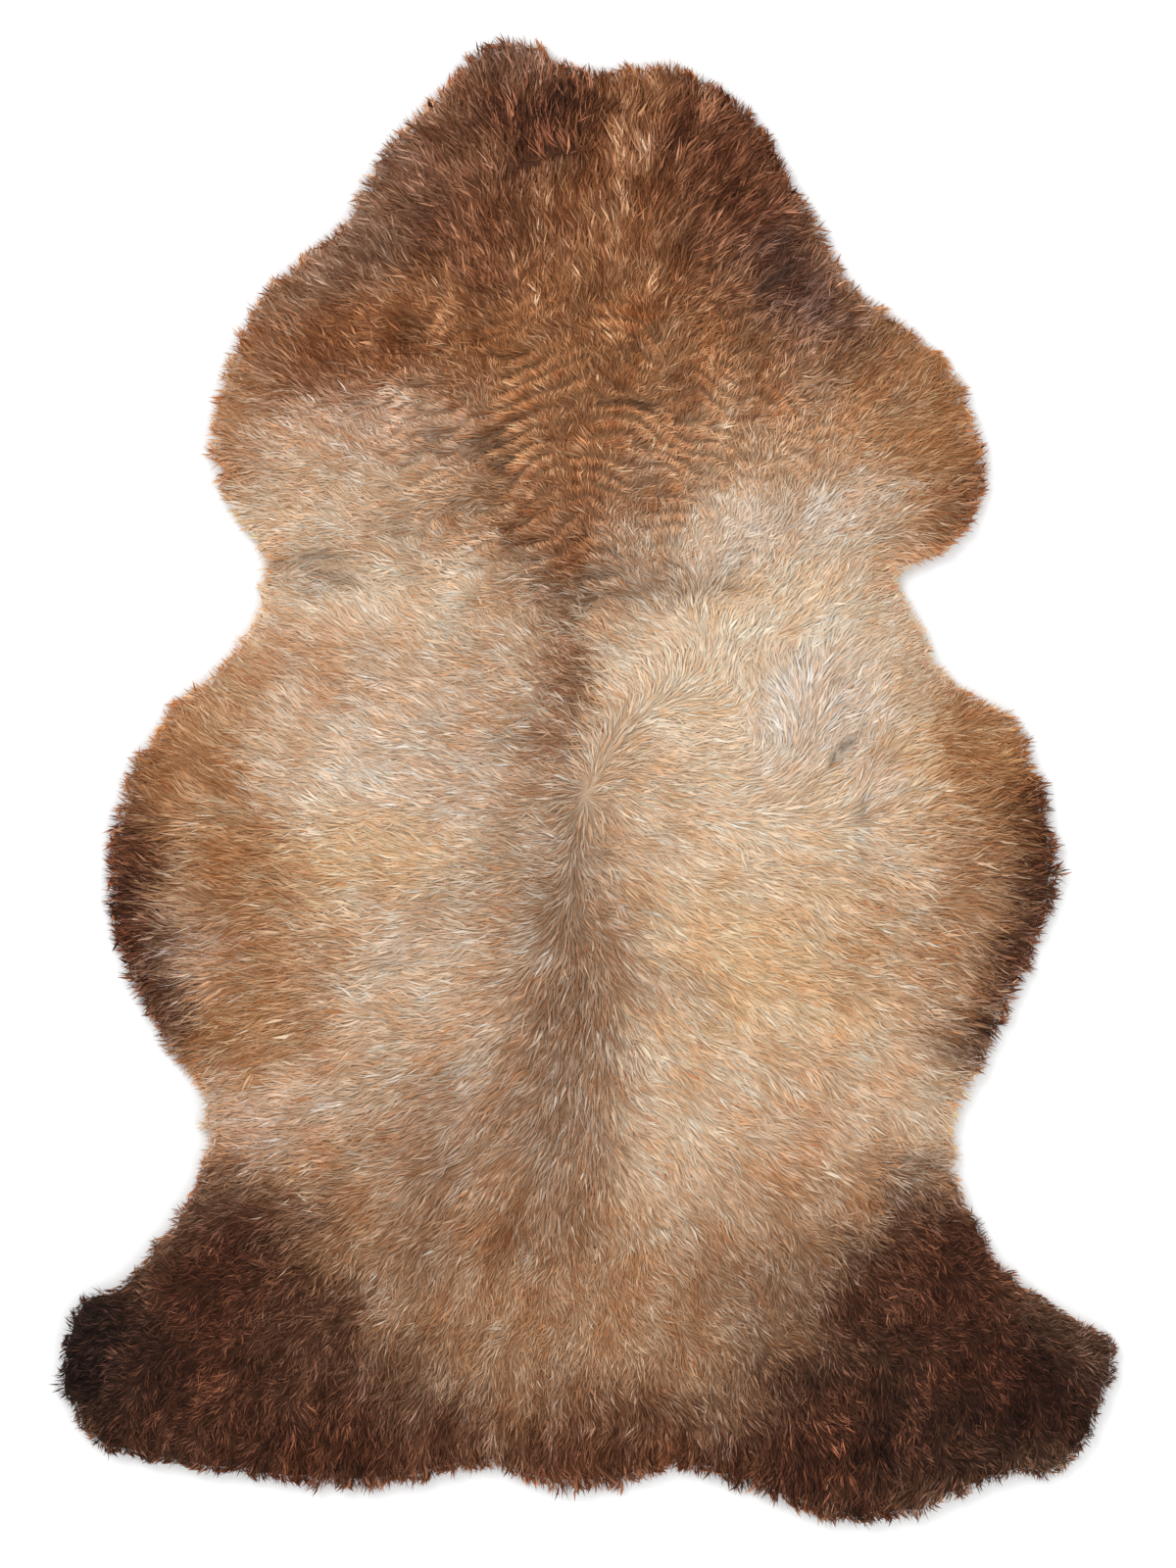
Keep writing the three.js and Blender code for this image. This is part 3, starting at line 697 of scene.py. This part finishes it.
def settle(paths, roots, ground):
    """Makes paths follow the rise and fall of the wool below them, and arch at their bends."""
    slope = roots.normals[:, :2] / np.maximum(roots.normals[:, 2:], 0.5)
    follow = np.zeros(len(paths))
    for i in (1, 2):
        level = roots.points[:, 2] - ((paths[:, i, :2] - roots.at) * slope).sum(1)
        below = ground(paths[:, i, :2])[:, 0]
        follow = np.where(below > 0, (1 - roots.steep) * (below - level), 2 * follow)
        paths[:, i, 2] += follow
    paths[:, :, 2] = np.maximum(paths[:, :, 2], FIBRE_FLOOR)
    chord = (paths[:, 0, 2] + paths[:, 2, 2]) / 2
    paths[:, 1, 2] = np.maximum(paths[:, 1, 2], chord + FIBRE_ARCH)


def fibre_paths(roots, edge, ground, creases, rng):
    """The root, bend and tip of each fibre, and the number of its lock."""
    gather = roots.pile.gather * (1 - roots.steep)
    centres = lock_centres(roots.at, rng)
    lock = nearest(roots.at, centres)
    lock_turn, lock_lift = rng.normal(0, 1, (2, len(centres)))[:, lock] * gather
    way = combed(roots, lock_turn, rng)
    length = fibre_lengths(roots, way, edge, creases, rng)
    way = unit(length[:, None] * way + gather[:, None] * (centres[lock] - roots.at))
    paths = raised(roots, way, length, lock_lift, rng)
    settle(paths, roots, ground)
    return paths, lock


def facing(normals):
    """The way the broad sides of fibres face: half between the skin's normal and straight up."""
    return unit(normals + (0, 0, 1))


def half_widths(paths, roots):
    """Half of each fibre's width across its bend, turned so that its faces point outwards."""
    span, sag = paths[:, 2] - paths[:, 0], paths[:, 1] - paths[:, 0]
    size = FIBRE_WIDTH / 2 * (1 - RIM_THINNING * roots.steep)
    half = size[:, None] * unit(np.cross(facing(roots.normals), span))
    outward = np.sign((np.cross(span, half) * sag).sum(1))
    return outward[:, None] * half


def fibre_shades(at, darkness, strength, lock, rng):
    """How much lighter or darker than its wool each fibre is, as a logarithm."""
    streak = 0.1 * ripple(at, wave=55, seed=81)
    streak = streak + 0.16 * streaks(at, wave=20, seed=61) + 0.17 * streaks(at, wave=7, seed=71)
    streak += LOCK_SHADE * rng.normal(0, 1, lock.max() + 1)[lock]
    # Dark wool differs more from fibre to fibre: partly its own tone, partly a painted sheen on single
    # fibres
    unevenness = 0.06 + 0.21 * darkness
    own_shade = unevenness * rng.uniform(-1.7, 1.7, len(at)) - unevenness**2 / 2
    own_shade -= np.where(rng.random(len(at)) < GUARD_SHARE, GUARD_SHADE, 0)
    return (0.55 + 0.8 * darkness) * strength * streak + own_shade


def fibre_tints(at, rng):
    """How golden each fibre is, or how silvery where the tint is below 0."""
    broad, middle = ripple(at, wave=48, seed=101), streaks(at, wave=20, seed=103)
    tint = 0.05 * (broad + middle + streaks(at, wave=7, seed=105))
    return tint + OWN_TINT * rng.normal(0, 1, len(at))


def fibre_relief(paths, wave, darkness, creases):
    """Painted light and shade at the points of each fibre: darker roots and lighter tips in a curl,
    standing in for its relief, and darker points in a parting.
    """
    at = paths[:, 0, :2]
    points = paths[:, :, :2].reshape(-1, 2)
    up = np.clip(crimp(points).reshape(-1, 3) - np.floor(crimp(at))[:, None], 0, 1)
    contrast = CURL_SHADE * curl(at, wave) * np.clip(darkness, 0.35, 1)
    curls = np.exp(contrast[:, None] * (up - 0.5))
    return curls * (1 - PARTING_SHADE * creases(points)[:, 0].reshape(-1, 3))


def fibre_colours(paths, steep, lock, creases, rng):
    """A colour for each point along each fibre, with painted light and shade. Dark wool is the more
    uneven, partly in its own tone and partly as a painted sheen, with paler tips, partly faded and partly
    a painted sheen.
    """
    at = paths[:, 0, :2]
    pile = coat(at)
    stray = rng.normal(0, STRAY_ALONG, (len(at), 1)) * lay(at)
    stray = stray + rng.normal(0, STRAY_AROUND, (len(at), 2))
    colour = wool_colour(at + stray)
    darkness = np.clip(np.log(PALE_GREEN / colour[:, 1]), 0, DARKEST)
    dark = (darkness / DARKEST)[:, None]
    shade = fibre_shades(at, darkness, pile.streak, lock, rng)[:, None]
    tint = fibre_tints(at, rng)[:, None]
    colour = colour * np.exp(shade * (1 + (1 - dark) * DEEPENING) + tint * GOLDEN)
    # Painted light and shade along each fibre, and the painted glow of the rim
    along = PALE_ALONG + dark[:, :, None] * (DARK_ALONG - PALE_ALONG)
    along = along * (1 + steep[:, None, None] * RIM_GLOW)
    relief = fibre_relief(paths, pile.wave, darkness, creases)[:, :, None]
    return np.clip(colour[:, None] * along * relief, 0, BRIGHTEST)


# A fibre is a long four-sided sliver: its root, the left and right of its bend, and its tip.
# These are its faces, and the places of its corners in its cell of the map.
FIBRE_FACES = np.array([(0, 2, 1), (3, 1, 2), (0, 1, 3), (0, 3, 2)])
FIBRE_PLACES = np.array([(0.5, 0.1), (0.15, 0.5), (0.85, 0.5), (0.5, 0.9)])


def fibre_normals(paths, half, normals):
    """Shading normals at the corners of each fibre: square to it, as near to the skin's as can be."""
    way = unit(paths[:, 2] - paths[:, 0])
    front = facing(normals)
    square = unit(front - way * (front * way).sum(1, keepdims=True))
    aside = ROUNDNESS * unit(half)
    return unit(np.stack([square, square + aside, square - aside, square], 1))


def fibre_piece(name, paths, half, normals, colours, material):
    """One joined mesh of closed, tapered fibres, with a cell of the map for each."""
    count = len(paths)
    start, bend, end = paths.transpose(1, 0, 2)
    corners = np.stack([start, bend + half, bend - half, end], 1).reshape(-1, 3)
    faces = (FIBRE_FACES[None] + 4 * np.arange(count)[:, None, None]).reshape(-1, 3)
    columns = math.ceil(math.sqrt(count))
    cells = np.stack(np.divmod(np.arange(count), columns), 1)
    places = ((cells[:, None] + FIBRE_PLACES) / columns).reshape(-1, 2)

    mesh = bpy.data.meshes.new(name)
    mesh.vertices.add(len(corners))
    mesh.vertices.foreach_set("co", (corners * MM).ravel())
    mesh.loops.add(faces.size)
    mesh.loops.foreach_set("vertex_index", faces.ravel())
    mesh.polygons.add(len(faces))
    mesh.polygons.foreach_set("loop_start", np.arange(0, faces.size, 3))
    mesh.polygons.foreach_set("use_smooth", np.ones(len(faces), bool))
    mesh.update(calc_edges=True)
    mesh.normals_split_custom_set_from_vertices(fibre_normals(paths, half, normals).reshape(-1, 3))
    paint(mesh, colours[:, [0, 1, 1, 2]].reshape(-1, 3))
    layer = mesh.uv_layers.new(name="OFBake")
    layer.data.foreach_set("uv", places[faces.ravel()].ravel())
    mesh.materials.append(material)
    piece = bpy.data.objects.new(name, mesh)
    bpy.context.scene.collection.objects.link(piece)
    return piece


def paint(mesh, shades):
    """Keeps a colour for each vertex."""
    wool = mesh.color_attributes.new("wool", "FLOAT_COLOR", "POINT")
    wool.data.foreach_set("color", np.c_[shades, np.ones(len(shades))].ravel())


# Materials


def add_node(tree, kind, settings=None, links=None):
    """A node with its settings, by socket or property name, and its links from other sockets."""
    node = tree.nodes.new(kind)
    for name, value in (settings or {}).items():
        if name in node.inputs:
            node.inputs[name].default_value = value
        else:
            setattr(node, name, value)
    for name, socket in (links or {}).items():
        tree.links.new(socket, node.inputs[name])
    return node


def new_material(name):
    """An empty node material and its tree."""
    material = bpy.data.materials.new(name)
    material.use_nodes = True
    material.node_tree.nodes.clear()
    return material, material.node_tree


def finish_material(tree, settings, links=None):
    """Adds the shader, with its settings and links, and the output."""
    shader = add_node(tree, "ShaderNodeBsdfPrincipled", settings, links)
    add_node(tree, "ShaderNodeOutputMaterial", links={"Surface": shader.outputs["BSDF"]})


def rgba(shade):
    """An sRGB hex shade as a linear colour for a socket."""
    return (*linear(shade), 1)


def wool_fibre():
    """Undyed lambswool, washed and combed: soft matt fibres, coloured along their length, with painted
    light and shade in the colour.
    """
    material, tree = new_material("lambswool_fibre")
    wool = add_node(tree, "ShaderNodeAttribute", {"attribute_name": "wool"})
    finish_material(
        tree,
        {"Roughness": 0.65, "Specular IOR Level": 0.08},
        {"Base Color": wool.outputs["Color"]},
    )
    return material


def felted_wool():
    """The matted wool under the fibre tips: rougher and finely ridged, painted darker as the shade
    between the fibres, and darkest in the dips of its ridges.
    """
    material, tree = new_material("felted_lambswool")
    place = add_node(tree, "ShaderNodeTexCoord")
    wool = add_node(tree, "ShaderNodeAttribute", {"attribute_name": "wool"})
    matting_and_shade = add_node(
        tree,
        "ShaderNodeTexNoise",
        {"Scale": 1 / (MATTING_WIDTH * MM), "Detail": 4.0, "Roughness": 0.65},
        {"Vector": place.outputs["Object"]},
    )
    # Painted shade: the colour darker overall, as the shade between the fibres, and darkest where the
    # ridges dip
    shade = add_node(
        tree,
        "ShaderNodeMapRange",
        {"From Min": 0.3, "From Max": 0.7, "To Min": 0.75, "To Max": 1.05},
        {"Value": matting_and_shade.outputs["Fac"]},
    )
    colour = add_node(
        tree,
        "ShaderNodeVectorMath",
        {"operation": "SCALE"},
        {"Vector": wool.outputs["Color"], "Scale": shade.outputs["Result"]},
    )
    bump = add_node(
        tree,
        "ShaderNodeBump",
        {"Strength": 0.8, "Distance": 1.5 * MM},
        {"Height": matting_and_shade.outputs["Fac"]},
    )
    finish_material(
        tree,
        {"Roughness": 0.9, "Specular IOR Level": 0.2},
        {"Base Color": colour.outputs["Vector"], "Normal": bump.outputs["Normal"]},
    )
    return material


def suede():
    """The tanned flesh side: pale buffed leather with a short nap and faint clouds."""
    material, tree = new_material("tanned_suede")
    place = add_node(tree, "ShaderNodeTexCoord")
    clouds = add_node(
        tree,
        "ShaderNodeTexNoise",
        {"Scale": 1 / (CLOUD_WIDTH * MM), "Detail": 5.0, "Roughness": 0.6},
        {"Vector": place.outputs["Object"]},
    )
    tone = add_node(tree, "ShaderNodeValToRGB", links={"Fac": clouds.outputs["Fac"]})
    for stop, share, shade in zip(tone.color_ramp.elements, (0.35, 0.7), (SUEDE_SHADE, SUEDE_LIGHT)):
        stop.position = share
        stop.color = rgba(shade)
    nap = add_node(
        tree,
        "ShaderNodeTexNoise",
        {"Scale": 1 / (NAP_WIDTH * MM), "Detail": 3.0},
        {"Vector": place.outputs["Object"]},
    )
    bump = add_node(
        tree,
        "ShaderNodeBump",
        {"Strength": 0.5, "Distance": 0.4 * MM},
        {"Height": nap.outputs["Fac"]},
    )
    finish_material(
        tree,
        {"Roughness": 0.85, "Specular IOR Level": 0.25, "Sheen Weight": 0.15},
        {"Base Color": tone.outputs["Color"], "Normal": bump.outputs["Normal"]},
    )
    return material


def studio_floor():
    """Plain pale matt paper."""
    material, tree = new_material("pale_paper")
    finish_material(
        tree, {"Base Color": rgba(PAPER), "Roughness": 0.9, "Specular IOR Level": 0.1}
    )
    return material


# The skin


def make_fleece(underwool, creases, rng):
    """The fibres of the crown and the rim, in a piece for each zone from the rump to the neck."""
    body = BVHTree.FromObject(underwool, bpy.context.evaluated_depsgraph_get())
    crown, rim = crown_roots(body, rng), rim_roots(underwool, rng)
    points, normals = (np.concatenate(both) for both in zip(crown, rim))
    roots = take_root(points, normals, creases)
    edge = rim[0][:, :2]
    paths, lock = fibre_paths(roots, edge, heights(body), creases, rng)
    half = half_widths(paths, roots)
    colours = fibre_colours(paths, roots.steep, lock, creases, rng)
    fibre = wool_fibre()

    pieces = []
    order = np.argsort(points[:, 1], kind="stable")
    for zone, members in zip(ZONES, np.array_split(order, len(ZONES))):
        parts = (array[members] for array in (paths, half, normals, colours))
        pieces.append(fibre_piece(f"fleece_{zone}", *parts, fibre))
    return pieces


def make_skin():
    """The hide, the underwool and the fleece, all on the one body."""
    rng = np.random.default_rng(20)
    creases = mapped(parted, CREASE_PITCH)
    hide = make_hide()
    hide.data.materials.append(suede())
    underwool = make_underwool()
    underwool.data.materials.append(felted_wool())
    corners = np.array([v.co for v in underwool.data.vertices])[:, :2] / MM
    # The underwool's own colour, painted darker in the partings as shade
    paint(underwool.data, (1 - FELT_SHADE * creases(corners)[:, :1]) * wool_colour(corners))

    pieces = [underwool, *make_fleece(underwool, creases, rng)]
    for piece in [hide, *pieces]:
        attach(piece, BODY)
    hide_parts(NODE)


# Stage


def make_floor():
    """A pale floor under the skin."""
    bpy.ops.object.select_all(action="DESELECT")
    bpy.ops.mesh.primitive_plane_add(size=FLOOR_SIZE)
    floor = bpy.context.object
    floor.name = "floor"
    floor.data.materials.append(studio_floor())


def make_lights(scene):
    """Soft white light from all round, and two broad lamps above."""
    world = bpy.data.worlds.new("studio")
    world.use_nodes = True
    sky = world.node_tree.nodes["Background"]
    sky.inputs["Strength"].default_value = SKY_LIGHT
    sky.inputs["Color"].default_value = (1, 1, 1, 1)
    scene.world = world
    scene.view_settings.view_transform = "Standard"
    for row in LAMPS:
        light = bpy.data.lights.new(row.name, "AREA")
        light.size = row.size
        light.energy = row.power
        lamp = bpy.data.objects.new(row.name, light)
        lamp.location = row.place
        lamp.rotation_euler = (-Vector(row.place)).to_track_quat("-Z", "Y").to_euler()
        scene.collection.objects.link(lamp)


def make_camera(scene):
    """A long lens that looks straight down. The upright picture's height takes the sensor's width."""
    lens = bpy.data.cameras.new("camera")
    distance = CAMERA_PLACE[2] - CROWN_HEIGHT
    lens.lens = lens.sensor_width * distance / PICTURE_HEIGHT
    camera = bpy.data.objects.new("camera", lens)
    camera.location = CAMERA_PLACE
    scene.collection.objects.link(camera)
    scene.camera = camera


make_floor()
make_lights(bpy.context.scene)
make_camera(bpy.context.scene)
make_skin()
